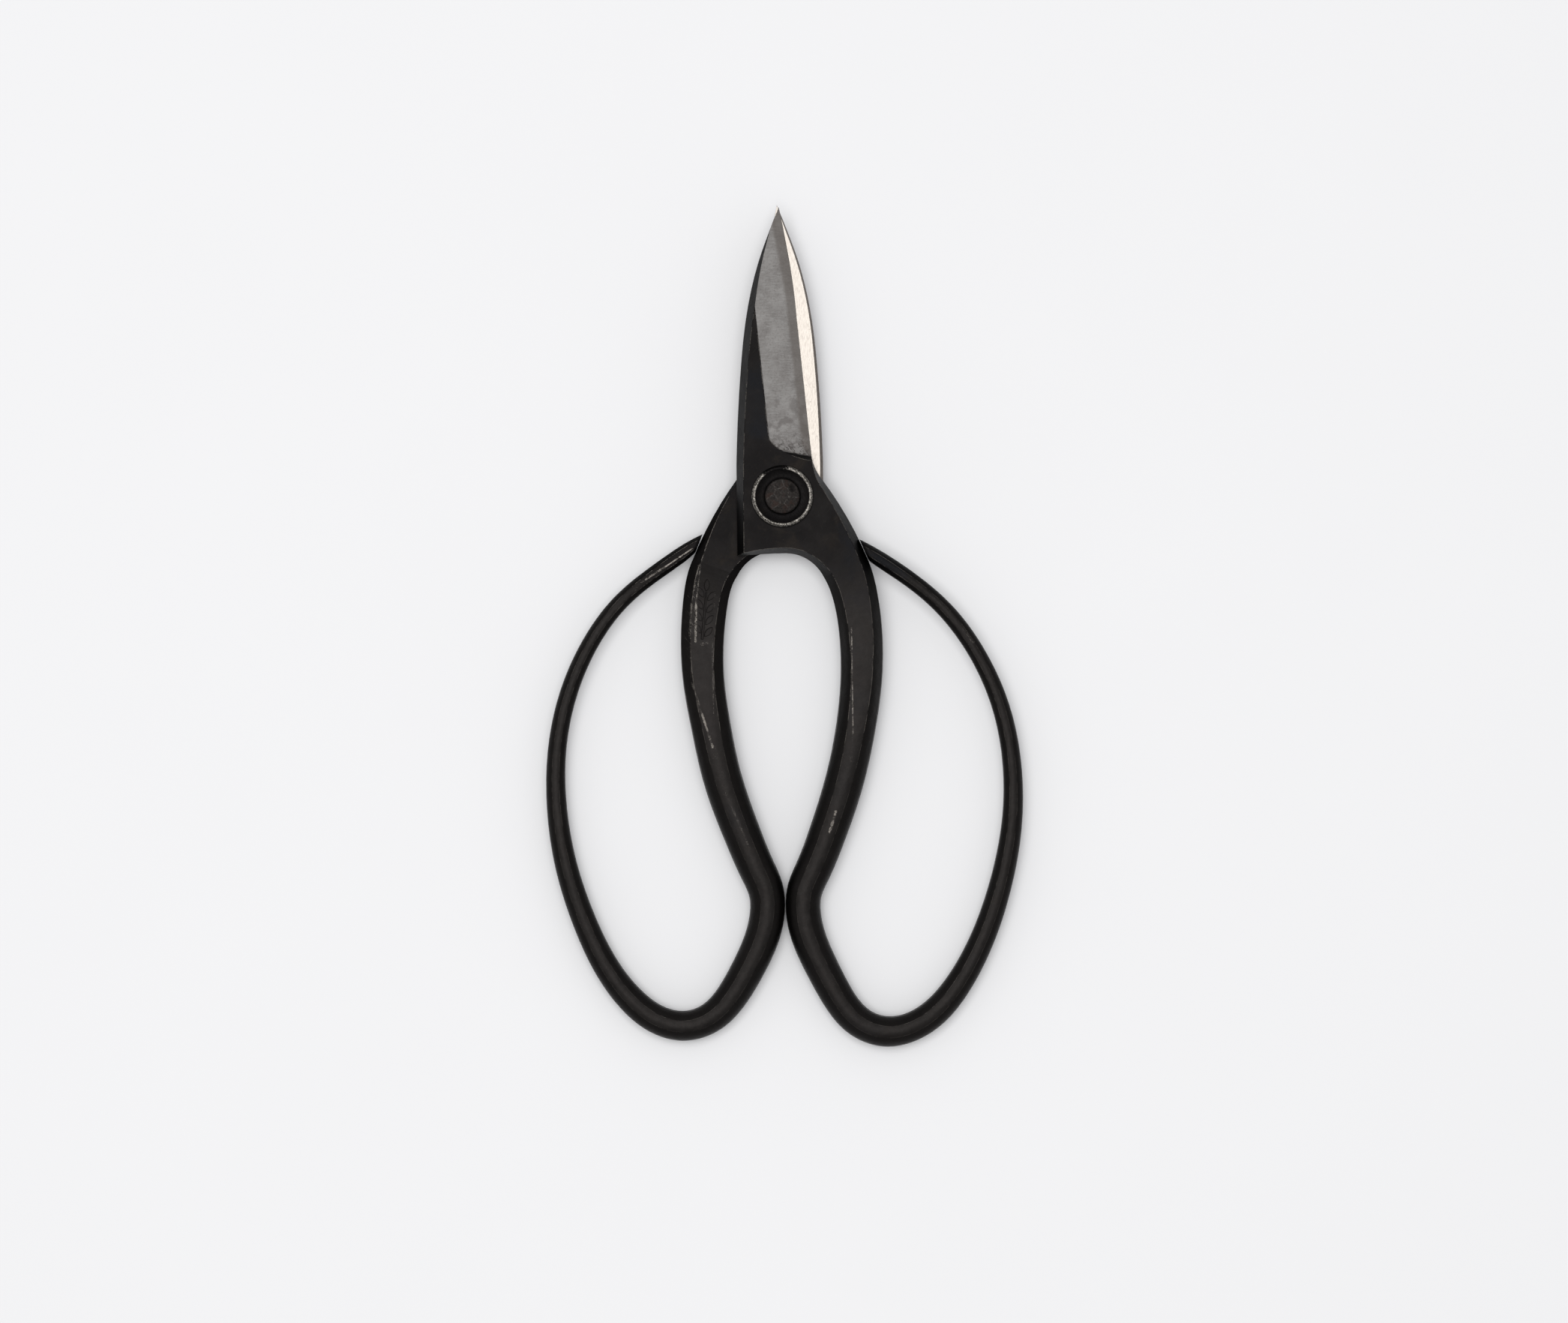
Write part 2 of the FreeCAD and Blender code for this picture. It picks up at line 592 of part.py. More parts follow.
NO_SHIFT = Vector(0, 0, 0)
REAR_SHIFT = Vector(size("rear_shift_x"), size("rear_shift_y"), 0)

front_place = Placement(Vector(0, 0, MIDDLE + size("half_gap")), Rotation())
rear_place = Placement(Vector(0, 0, MIDDLE - size("half_gap")), Rotation(Y_AXIS, 180))
front_half, front_cutting_steel = forging(
    "front", FRONT_BOW, FRONT_END, NO_SHIFT, "running_clearance", front_place
)
rear_half, rear_cutting_steel = forging(
    "rear", REAR_BOW, REAR_END, REAR_SHIFT, "fixed_clearance", rear_place, placed_stamp(REAR_BOW)
)

parts = [
    front_half,
    front_cutting_steel,
    rear_half,
    rear_cutting_steel,
    rivet(),
    washer("front_washer", FRONT_WASHER, True),
    washer("rear_washer", REAR_PLATE, False),
]
doc.recompute()

for obj in doc.Objects:
    if "Invalid" in obj.State or "Error" in obj.State:
        raise RuntimeError(f"{obj.Name} is not computed: {obj.State}")
os.makedirs("parts", exist_ok=True)
for part in parts:
    part.Label = part.Name
    shape = part.Shape
    if shape.isNull() or not shape.isValid() or len(shape.Solids) != 1:
        raise RuntimeError(f"{part.Label} is not one valid solid")
    print(f"{part.Label}: {shape.Volume:.1f} mm3, {len(shape.Faces)} faces")
for part in parts:
    part.Shape.exportStep(f"parts/{part.Label}.step")
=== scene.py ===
"""Looks of the forged floral snips: black forge scale with worn edges, ground blades, a hammered rivet.

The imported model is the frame: lengths are metres, the rivet's axis is Z and the blades point along +Y.
Materials work in millimetres of that same frame, so each mark stays where it belongs in every pose.
"""
import math
import random

import bpy
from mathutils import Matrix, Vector


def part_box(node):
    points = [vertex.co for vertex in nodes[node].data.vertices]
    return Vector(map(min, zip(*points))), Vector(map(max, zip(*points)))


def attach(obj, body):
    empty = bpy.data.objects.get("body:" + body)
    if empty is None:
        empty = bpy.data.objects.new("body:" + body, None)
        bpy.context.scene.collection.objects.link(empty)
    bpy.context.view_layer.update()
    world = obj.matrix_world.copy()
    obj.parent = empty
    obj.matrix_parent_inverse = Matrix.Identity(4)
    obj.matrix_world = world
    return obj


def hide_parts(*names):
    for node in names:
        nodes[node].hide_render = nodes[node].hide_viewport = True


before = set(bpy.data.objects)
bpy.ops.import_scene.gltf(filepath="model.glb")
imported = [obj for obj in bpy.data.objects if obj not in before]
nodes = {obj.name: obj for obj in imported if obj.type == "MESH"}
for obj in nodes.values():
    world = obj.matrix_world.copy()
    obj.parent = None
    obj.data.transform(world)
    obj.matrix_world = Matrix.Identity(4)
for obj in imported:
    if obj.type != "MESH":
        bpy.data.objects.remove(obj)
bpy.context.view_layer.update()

MM = 0.001
PER_METRE = 1000.0
FRONT, REAR = 1, -1
BEVEL_SAMPLES = 6

# Heights that the looks depend on, in millimetres.
FRONT_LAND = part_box("front_washer")[0].z * PER_METRE
REAR_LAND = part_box("rear_washer")[1].z * PER_METRE
FRONT_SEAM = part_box("front_cutting_steel")[1].z * PER_METRE
REAR_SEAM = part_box("rear_cutting_steel")[0].z * PER_METRE
FRONT_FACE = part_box("front_cutting_steel")[0].z * PER_METRE
REAR_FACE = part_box("rear_cutting_steel")[1].z * PER_METRE


# --------------------------------------------------------------------------------------------- node builder


class Finish:
    """A material under construction: each call adds nodes and returns the socket that they give."""

    def __init__(self, name):
        self.material = bpy.data.materials.new(name)
        self.material.use_nodes = True
        self.tree = self.material.node_tree
        self.shader = self.tree.nodes["Principled BSDF"]
        self.coordinates = self.tree.nodes.new("ShaderNodeTexCoord")
        self.geometry = self.tree.nodes.new("ShaderNodeNewGeometry")
        self.place = self.vector("MULTIPLY", self.coordinates.outputs["Object"], (PER_METRE,) * 3)
        parts = self.tree.nodes.new("ShaderNodeSeparateXYZ")
        self.put(parts.inputs[0], self.place)
        self.x, self.y, self.z = parts.outputs

    def put(self, socket, value):
        """Links a socket, or sets a constant on the input itself."""
        if isinstance(value, bpy.types.NodeSocket):
            self.tree.links.new(value, socket)
        elif value is not None:
            socket.default_value = value

    def vector(self, operation, a, b=None):
        """One step of vector arithmetic, by Blender's name for it."""
        node = self.tree.nodes.new("ShaderNodeVectorMath")
        node.operation = operation
        self.put(node.inputs[0], a)
        self.put(node.inputs[1], b)
        scalar = operation in ("DOT_PRODUCT", "DISTANCE", "LENGTH")
        return node.outputs["Value" if scalar else "Vector"]

    def stretched(self, factors, turn=0.0):
        """The place turned about Z by an angle in degrees, then stretched: for scratches and wheel marks."""
        node = self.tree.nodes.new("ShaderNodeVectorRotate")
        node.rotation_type = "Z_AXIS"
        self.put(node.inputs["Vector"], self.place)
        node.inputs["Angle"].default_value = math.radians(turn)
        return self.vector("MULTIPLY", node.outputs[0], factors)

    def math(self, operation, a, b=None, clamp=False):
        """One step of arithmetic, by Blender's name for it."""
        node = self.tree.nodes.new("ShaderNodeMath")
        node.operation = operation
        node.use_clamp = clamp
        for socket, value in zip(node.inputs, (a, b)):
            self.put(socket, value)
        return node.outputs[0]

    def chain(self, operation, values):
        """The values joined one after another by the same operation."""
        total = values[0]
        for value in values[1:]:
            total = self.math(operation, total, value)
        return total

    def times(self, *values):
        return self.chain("MULTIPLY", values)

    def plus(self, *values):
        return self.chain("ADD", values)

    def most(self, *values):
        return self.chain("MAXIMUM", values)

    def flip(self, value):
        """1 where value is 0, and 0 where it is 1."""
        return self.math("SUBTRACT", 1.0, value, clamp=True)

    def step(self, value, start, end):
        """A smooth step: 0 where value is at start and 1 where it is at end."""
        node = self.tree.nodes.new("ShaderNodeMapRange")
        node.interpolation_type = "SMOOTHSTEP"
        self.put(node.inputs["Value"], value)
        falls = end < start
        node.inputs["From Min"].default_value = end if falls else start
        node.inputs["From Max"].default_value = start if falls else end
        node.inputs["To Min"].default_value = 1.0 if falls else 0.0
        node.inputs["To Max"].default_value = 0.0 if falls else 1.0
        return node.outputs["Result"]

    def between(self, value, low, high, soft):
        """1 where value lies between low and high, with soft ends."""
        rises = self.step(value, low - soft, low + soft)
        falls = self.step(value, high + soft, high - soft)
        return self.times(rises, falls)

    def noise(self, scale, detail=3.0, rough=0.55, vector=None, warp=0.0):
        """Clouds from 0 to 1 with so many to the millimetre."""
        node = self.tree.nodes.new("ShaderNodeTexNoise")
        self.put(node.inputs["Vector"], vector or self.place)
        node.inputs["Scale"].default_value = scale
        node.inputs["Detail"].default_value = detail
        node.inputs["Roughness"].default_value = rough
        node.inputs["Distortion"].default_value = warp
        return node.outputs["Fac"]

    def spots(self, scale, size):
        """Round spots, one per cell at most: 1 inside a spot and 0 outside."""
        node = self.tree.nodes.new("ShaderNodeTexVoronoi")
        self.put(node.inputs["Vector"], self.place)
        node.inputs["Scale"].default_value = scale
        return self.step(node.outputs["Distance"], size, size * 0.4)

    def facing(self, direction):
        """How nearly the surface faces a direction of the piece's own frame: 1 is exactly."""
        return self.vector("DOT_PRODUCT", self.coordinates.outputs["Normal"], direction)

    def bevel(self, radius):
        """The surface's direction with every edge rounded over by radius."""
        node = self.tree.nodes.new("ShaderNodeBevel")
        node.samples = BEVEL_SAMPLES
        node.inputs["Radius"].default_value = radius * MM
        return node.outputs["Normal"]

    def edges(self, radius, low, high):
        """1 along the edges of the shape, within about radius of them. Flat edges need low limits."""
        straight = self.vector("DOT_PRODUCT", self.bevel(radius), self.geometry.outputs["Normal"])
        return self.step(self.flip(straight), low, high)

    def near(self, a, b, width):
        """1 on the straight line from a to b and 0 further than width from it, in X and Y."""
        start, run = Vector((*a, 0.0)), Vector((b[0] - a[0], b[1] - a[1], 0.0))
        flat = self.vector("MULTIPLY", self.place, (1.0, 1.0, 0.0))
        out = self.vector("SUBTRACT", flat, start)
        share = self.times(self.vector("DOT_PRODUCT", out, run), 1.0 / run.length_squared)
        share = self.math("MINIMUM", self.math("MAXIMUM", share, 0.0), 1.0)
        node = self.tree.nodes.new("ShaderNodeVectorMath")
        node.operation = "SCALE"
        node.inputs[0].default_value = run
        self.put(node.inputs["Scale"], share)
        return self.step(self.vector("DISTANCE", out, node.outputs[0]), width, width * 0.35)

    def mix(self, factor, a, b):
        """A colour that goes from a to b."""
        node = self.tree.nodes.new("ShaderNodeMix")
        node.data_type = "RGBA"
        self.put(node.inputs["Factor"], factor)
        for name, colour in (("A", a), ("B", b)):
            socket = next(s for s in node.inputs if s.name == name and s.type == "RGBA")
            self.put(socket, (*colour, 1.0) if isinstance(colour, tuple) else colour)
        return next(s for s in node.outputs if s.type == "RGBA")

    def blend(self, factor, a, b, kind="FLOAT"):
        """A number, or with kind VECTOR a direction, that goes from a to b."""
        node = self.tree.nodes.new("ShaderNodeMix")
        node.data_type = kind
        self.put(node.inputs["Factor"], factor)
        socket_type = "VALUE" if kind == "FLOAT" else "VECTOR"
        ends = [s for s in node.inputs if s.type == socket_type and s.name in ("A", "B")]
        self.put(ends[0], a)
        self.put(ends[1], b)
        return next(s for s in node.outputs if s.type == socket_type)

    def bump(self, height, depth, normal=None):
        """Raises the surface by height times depth, in millimetres."""
        node = self.tree.nodes.new("ShaderNodeBump")
        node.inputs["Distance"].default_value = depth * MM
        self.put(node.inputs["Height"], height)
        self.put(node.inputs["Normal"], normal)
        return node.outputs["Normal"]

    def attribute(self, name):
        """A number that the mesh carries at each point."""
        node = self.tree.nodes.new("ShaderNodeAttribute")
        node.attribute_name = name
        return node.outputs["Fac"]

    def speckle(self, coverage, scale=4.5):
        """Fine broken speckles: the more coverage, from 0 to 1, the more of the surface they take."""
        fine = self.noise(scale, 3.0, 0.7)
        limit = self.blend(coverage, 0.78, 0.34)
        return self.math("MULTIPLY", self.math("SUBTRACT", fine, limit), 9.0, clamp=True)

    def done(self, colour, metal, rough, normal):
        """Gives the shader what was built, and returns the material."""
        self.put(self.shader.inputs["Base Color"], colour)
        self.put(self.shader.inputs["Metallic"], metal)
        self.put(self.shader.inputs["Roughness"], rough)
        self.put(self.shader.inputs["Normal"], normal)
        return self.material


# ------------------------------------------------------------------------------------------------- finishes

# Forge scale, from clean to handled, with the painted shade of its sloping sides, and what shows where it is
# scratched or rubbed through.
SCALE_BLACK = (0.0060, 0.0056, 0.0057)
SCALE_GREY = (0.0098, 0.0091, 0.0090)
SCALE_BROWN = (0.0140, 0.0116, 0.0096)
SCALE_BLUE = (0.0068, 0.0078, 0.0098)
SCALE_DEEP_AND_SHADE = (0.0058, 0.0054, 0.0055)
SCALE_RUBBED = (0.0185, 0.0168, 0.0160)
SCRATCH = (0.026, 0.024, 0.022)
BARE_STEEL = (0.070, 0.063, 0.055)
BRIGHT_STEEL = (0.19, 0.175, 0.158)
# The ground bevel, with the weld line, stains and pits in it, and the inner face behind it.
GROUND_STEEL = (0.38, 0.365, 0.35)
GROUND_PALE = (0.50, 0.49, 0.475)
GROUND_DARK = (0.20, 0.185, 0.175)
WELD_BROWN = (0.165, 0.145, 0.128)
STAIN = (0.050, 0.038, 0.031)
PIT_BLACK = (0.014, 0.011, 0.010)
FACE_STEEL = (0.25, 0.230, 0.208)
FACE_SHADE = (0.195, 0.176, 0.158)
SPINE_BROWN = (0.12, 0.106, 0.093)
# Painted shadow for the junction where a bow's rod ends against its shank.
ROD_END_SHADOW = (0.0012, 0.0012, 0.0012)
WASHER_DULL = (0.10, 0.092, 0.082)
WASHER_BRIGHT = (0.34, 0.32, 0.29)
RIVET_DARK = (0.0095, 0.0085, 0.0080)
RIVET_SCUFFED = (0.0240, 0.0215, 0.0200)
RIVET_RED = (0.022, 0.0140, 0.0120)
RIVET_WORN = (0.075, 0.070, 0.066)
PAPER_DIM = (0.795, 0.795, 0.80)
PAPER_PALE = (0.805, 0.805, 0.81)

# Places on the snips from here on are X and Y in millimetres.
# Worn streaks from point to point: start, end, width and strength.
FRONT_STREAKS = [
    ((14.55, -28.0), (14.7, -50.5), 0.16, 0.80),
    ((14.7, -50.5), (14.2, -57.0), 0.30, 0.45),
    ((19.4, -30.0), (18.7, -41.0), 0.20, 0.60),
    ((18.7, -41.0), (17.7, -46.0), 0.60, 0.40),
    ((18.4, -46.0), (18.2, -49.0), 0.50, 0.45),
    ((10.9, -67.3), (9.6, -71.6), 0.34, 0.85),
    ((8.4, -74.0), (6.9, -78.0), 0.60, 0.30),
    ((24.0, -16.2), (31.0, -20.6), 0.70, 0.36),
    ((31.5, -21.2), (36.0, -25.0), 0.45, 0.50),
    ((38.0, -27.6), (40.6, -31.4), 0.45, 0.60),
    ((42.0, -33.5), (45.4, -42.0), 0.50, 0.34),
]
REAR_STREAKS = [
    ((-16.0, -9.1), (-17.7, -15.2), 0.18, 0.60),
    ((-17.7, -15.2), (-18.6, -22.6), 0.17, 0.80),
    ((-18.6, -22.6), (-18.75, -30.8), 0.26, 0.95),
    ((-18.0, -14.5), (-19.6, -22.8), 0.17, 0.75),
    ((-19.6, -22.8), (-20.05, -29.5), 0.24, 0.90),
    ((-20.05, -29.5), (-19.6, -39.0), 0.20, 0.65),
    ((-19.6, -39.6), (-15.2, -53.4), 0.26, 0.85),
    ((-15.2, -53.4), (-12.6, -63.0), 0.80, 0.45),
    ((-12.6, -63.0), (-7.6, -74.8), 0.24, 0.60),
    ((-15.15, -30.0), (-15.0, -47.5), 0.17, 0.65),
    ((-15.0, -47.5), (-14.6, -52.5), 0.28, 0.35),
    ((-17.4, -31.4), (-16.2, -31.0), 0.40, 0.60),
    ((-19.3, -10.9), (-25.0, -14.7), 0.15, 1.00),
    ((-25.0, -14.7), (-30.2, -18.0), 0.24, 0.80),
    ((-31.0, -19.0), (-37.0, -25.5), 0.65, 0.38),
    ((-38.5, -27.5), (-43.5, -36.0), 0.60, 0.32),
]
# Where a bow grows out of its plate, and where its rod ends against the shank: that junction is painted dark
# as shadow.
ROOTS = {FRONT: ((9.2, -17.0), (17.6, -13.8)), REAR: ((-10.3, -16.5), (-18.5, -13.4))}
ROD_ENDS = {FRONT: ((16.4, -9.2), (18.3, -13.6)), REAR: ((-17.15, -7.85), (-18.65, -11.6))}
ROOT_WIDTH, ROD_END_WIDTH = 0.5, 0.75
# The line down the rear shank that the file strokes lie on, and how far they slant, in degrees.
FILED_LINE = [(-17.9, -14.5), (-19.5, -22.8), (-19.9, -29.5), (-19.8, -34.0)]
FILED_WIDTH = 1.7
FILE_ANGLE = 52.0
# Where the sprig is stamped: its edges aren't worn bright.
STAMP_X, STAMP_Y = (-18.2, -14.8), (-31.5, -16.0)
# Between these distances along the blade from the rivet's axis the ground bevel begins.
BEVEL_START = (4.2, 4.6)
# Between these distances from the rivet's axis a washer's worn rim begins, and its dull groove lies.
WASHER_RIM, WASHER_GROOVE = (5.70, 5.84), (6.10, 6.20)
# The direction in which the washer's rim is least worn.
WASHER_SPOILT = math.radians(104.0)


def scale_coat(f):
    """Forge scale with brown and blue clouds, scratched on top, and darkest on the sloping sides, where the
    darkening is painted shade.
    """
    clouds = f.noise(0.10, 4.0, 0.6)
    brown = f.step(f.noise(0.16, 5.0, 0.65, warp=0.6), 0.52, 0.72)
    blue = f.step(f.noise(0.06, 3.0, 0.5, warp=0.3), 0.56, 0.68)
    grain = f.noise(3.2, 4.0, 0.75)
    fine_a = f.noise(1.0, 3.0, 0.6, f.stretched((7.0, 0.4, 3.0), 38.0))
    fine_b = f.noise(1.0, 3.0, 0.6, f.stretched((0.35, 6.0, 3.0), 62.0))
    scratches = f.most(f.step(fine_a, 0.58, 0.80), f.times(f.step(fine_b, 0.60, 0.82), 0.7))
    top = f.step(f.math("ABSOLUTE", f.facing((0.0, 0.0, 1.0))), 0.50, 0.97)
    colour = f.mix(f.step(clouds, 0.38, 0.66), SCALE_BLACK, SCALE_GREY)
    colour = f.mix(f.times(brown, 0.55), colour, SCALE_BROWN)
    colour = f.mix(f.times(blue, 0.5), colour, SCALE_BLUE)
    colour = f.mix(f.times(f.step(grain, 0.48, 0.75), 0.5), colour, SCALE_BROWN)
    colour = f.mix(f.times(scratches, top, 0.30), colour, SCRATCH)
    # Painted shade: the sloping sides are darkened to the deepest scale colour, for light they would not
    # catch.
    colour = f.mix(f.flip(top), colour, SCALE_DEEP_AND_SHADE)
    handled = f.times(f.step(f.y, -12.0, -26.0), f.plus(0.35, f.times(f.noise(0.5, 4.0, 0.7), 0.75)))
    colour = f.mix(handled, colour, SCALE_RUBBED)
    rough = f.plus(f.blend(clouds, 0.42, 0.56), f.times(f.math("SUBTRACT", grain, 0.5), 0.25))
    height = f.plus(f.times(grain, 0.6), f.times(scratches, -0.3))
    return colour, rough, height


def bare(f, amount, colour, rough):
    """Lays bare steel where amount is 1."""
    steel = f.mix(f.noise(3.0, 2.0), BARE_STEEL, BRIGHT_STEEL)
    return f.mix(amount, colour, steel), f.blend(amount, rough, 0.42)


def streaks(f, marks):
    """Speckled streaks along the worn ridges of a half."""
    wobble = f.noise(0.8, 2.0)
    total = 0.0
    for start, end, width, strength in marks:
        line = f.near(start, end, width * 1.6)
        cover = f.times(line, wobble, strength * 1.7)
        total = f.most(total, f.times(line, strength, f.speckle(cover, 6.5)))
    return total


def file_marks(f):
    """Slanting file strokes beside the worn lines of the rear shank."""
    band = f.most(*[f.near(a, b, FILED_WIDTH) for a, b in zip(FILED_LINE, FILED_LINE[1:])])
    strokes = f.noise(1.0, 2.0, 0.5, f.stretched((0.5, 4.6, 0.4), FILE_ANGLE))
    patchy = f.step(f.noise(0.45, 2.0), 0.36, 0.60)
    strong = f.between(f.y, -31.5, -20.0, 3.0)
    return f.times(band, f.step(strokes, 0.56, 0.70), patchy, f.blend(strong, 0.10, 0.75), f.speckle(0.75))


def ground_bevel(f, side):
    """The ground bevel: grey steel, mottled, with wheel marks across it, stains and pits at its lower end."""
    wheel = f.noise(1.0, 4.0, 0.65, f.stretched((0.30, 3.2, 1.0), -4.0 * side))
    mottle = f.noise(2.4, 4.0, 0.75)
    clouds = f.noise(0.22, 3.0, 0.6)
    bands = f.noise(1.0, 2.0, 0.5, f.stretched((0.06, 0.36, 1.0), -6.0 * side))
    lower = f.step(f.y, 34.0, 16.0)
    foot = f.step(f.y, 15.5, 7.0)
    pits = f.times(f.spots(1.7, 0.44), f.step(f.noise(0.6, 2.0), 0.44, 0.56), f.blend(foot, 0.12, 1.0))
    stain = f.times(f.step(f.noise(0.75, 5.0, 0.8, warp=0.9), 0.47, 0.58), foot)
    colour = f.mix(f.step(clouds, 0.35, 0.65), GROUND_DARK, GROUND_STEEL)
    colour = f.mix(0.55, colour, GROUND_STEEL)
    colour = f.mix(f.times(f.step(wheel, 0.42, 0.72), 0.45), colour, GROUND_PALE)
    colour = f.mix(f.times(f.step(mottle, 0.50, 0.30), 0.55), colour, GROUND_DARK)
    colour = f.mix(f.times(f.step(mottle, 0.56, 0.76), 0.40), colour, GROUND_PALE)
    colour = f.mix(f.times(f.step(bands, 0.50, 0.68), lower, 0.65), colour, GROUND_DARK)
    colour = f.mix(f.times(stain, 0.85), colour, STAIN)
    colour = f.mix(f.times(pits, 0.85), colour, PIT_BLACK)
    rough = f.blend(mottle, 0.40, 0.58)
    height = f.math("SUBTRACT", f.plus(f.times(wheel, 0.6), f.times(mottle, 0.6)), f.times(pits, 1.6))
    return colour, rough, height


def inner_face(f):
    """The hollow-ground inner face: pale steel, finely brushed along the blade, with a few dark dots."""
    grain = f.noise(1.0, 4.0, 0.7, f.stretched((4.0, 0.8, 1.0), 5.0))
    mottle = f.noise(2.0, 3.0, 0.7)
    dots = f.times(f.spots(1.1, 0.22), f.step(f.noise(0.4, 2.0), 0.50, 0.60))
    colour = f.mix(f.step(grain, 0.40, 0.72), FACE_STEEL, FACE_SHADE)
    colour = f.mix(f.times(f.step(mottle, 0.55, 0.75), 0.35), colour, FACE_SHADE)
    colour = f.mix(f.times(dots, 0.75), colour, SPINE_BROWN)
    return colour, f.blend(grain, 0.26, 0.36), grain


def forged_half(name, side, marks, extra=None):
    """One half: scale everywhere but on the ground bevel, worn bright in dashes along its edges."""
    f = Finish(name)
    land = FRONT_LAND if side == FRONT else REAR_LAND
    seam = FRONT_SEAM if side == FRONT else REAR_SEAM
    colour, rough, height = scale_coat(f)

    dashes = f.step(f.noise(0.30, 3.0, 0.6), 0.34, 0.56)
    plain = f.flip(f.times(f.between(f.y, *STAMP_Y, 0.5), f.between(f.x, *STAMP_X, 0.3)))
    root, rod_end = f.near(*ROOTS[side], ROOT_WIDTH), f.near(*ROD_ENDS[side], ROD_END_WIDTH)
    edge = f.times(f.edges(0.17, 0.0015, 0.012), plain, f.flip(root), f.flip(rod_end))
    rubbed = f.times(edge, f.speckle(f.blend(dashes, 0.30, 0.95)))
    flecks = f.times(f.speckle(0.13, 3.2), f.step(f.facing((0, 0, side)), 0.93, 1.0))
    rubbed = f.most(rubbed, streaks(f, marks), flecks)
    if extra:
        rubbed = f.most(rubbed, extra(f))
    # Painted shadow: the junction where the rod ends against the shank is darkened nearly to black.
    colour = f.mix(f.times(rod_end, 0.8), colour, ROD_END_SHADOW)
    colour, rough = bare(f, rubbed, colour, rough)

    sunk = f.times(f.math("SUBTRACT", land, f.z), float(side))
    flat = f.step(f.facing((0.0, 0.0, side)), 0.55, 0.66)
    ground = f.times(f.step(sunk, 0.05, 0.10), f.step(f.y, *BEVEL_START), flat)
    steel, steel_rough, steel_height = ground_bevel(f, side)
    above_seam = f.times(f.math("SUBTRACT", f.z, seam), float(side))
    steel = f.mix(f.times(f.step(above_seam, 0.45, 0.0), 0.6), steel, WELD_BROWN)
    colour = f.mix(ground, colour, steel)
    rough = f.blend(ground, rough, steel_rough)
    rounded = f.blend(ground, f.bevel(0.22), f.geometry.outputs["Normal"], "VECTOR")
    uneven = f.bump(f.times(f.noise(0.35, 3.0, 0.5), f.flip(ground)), 0.12, rounded)
    normal = f.bump(f.blend(ground, height, steel_height), 0.012, uneven)
    return f.done(colour, 1.0, rough, normal)


def cutting_steel(name, side):
    """The welded layer: pale inside, a darker band outside that ends in a bright line at the edge."""
    f = Finish(name)
    middle = FRONT_FACE if side == FRONT else REAR_FACE
    outside = f.step(f.facing((0.0, 0.0, side)), 0.2, 0.5)
    inside = f.step(f.facing((0.0, 0.0, -side)), 0.90, 0.97)
    steel, steel_rough, steel_height = ground_bevel(f, side)
    weld = f.mix(0.6, steel, WELD_BROWN)
    face, face_rough, grain = inner_face(f)
    spine = f.mix(f.step(f.noise(1.8, 3.0), 0.4, 0.65), WELD_BROWN, SPINE_BROWN)
    colour = f.mix(outside, spine, weld)
    colour = f.mix(inside, colour, face)
    near_edge = f.step(f.times(f.math("SUBTRACT", f.z, middle), float(side)), 0.40, 0.25)
    edge = f.times(f.edges(0.14, 0.01, 0.05), near_edge, f.step(f.noise(1.1, 3.0), 0.34, 0.60))
    colour = f.mix(f.times(edge, 0.8), colour, BRIGHT_STEEL)
    rough = f.blend(inside, f.blend(outside, 0.5, steel_rough), face_rough)
    height = f.plus(f.times(steel_height, outside), f.times(grain, 0.3, inside))
    normal = f.bump(height, 0.010, f.blend(near_edge, f.geometry.outputs["Normal"], f.bevel(0.08), "VECTOR"))
    return f.done(colour, 1.0, rough, normal)


def washer_finish(name, side):
    """Darkened washer: black in its dish, worn bright and broken on its rim, least so towards the blades."""
    f = Finish(name)
    distance = f.math("SQRT", f.plus(f.times(f.x, f.x), f.times(f.y, f.y)))
    turn = f.math("ARCTAN2", f.y, f.x)
    colour, rough, height = scale_coat(f)
    colour = f.mix(0.3, colour, SCALE_DEEP_AND_SHADE)
    rim = f.times(f.step(distance, *WASHER_RIM), f.step(f.facing((0.0, 0.0, side)), 0.30, 0.60))
    spoilt = f.step(f.math("ABSOLUTE", f.math("SUBTRACT", turn, WASHER_SPOILT)), 0.55, 0.30)
    groove = f.times(f.between(distance, *WASHER_GROOVE, 0.04), f.between(turn, -2.9, -1.7, 0.2))
    nicks = f.step(f.noise(1.0, 3.0, 0.7, f.stretched((1.2, 4.2, 1.0), 60.0)), 0.50, 0.62)
    cover = f.times(f.blend(spoilt, 0.98, 0.34), f.flip(f.times(groove, 0.8)))
    amount = f.times(rim, f.speckle(cover, 3.4), f.flip(f.times(nicks, 0.75)))
    outer = f.times(f.edges(0.2, 0.02, 0.1), f.speckle(0.40))
    steel = f.mix(f.step(f.noise(3.0, 3.0), 0.35, 0.65), WASHER_DULL, WASHER_BRIGHT)
    colour = f.mix(f.most(amount, f.times(outer, 0.7)), colour, steel)
    rough = f.blend(amount, rough, 0.48)
    return f.done(colour, 1.0, rough, f.bump(f.plus(height, f.times(nicks, -0.5)), 0.03))


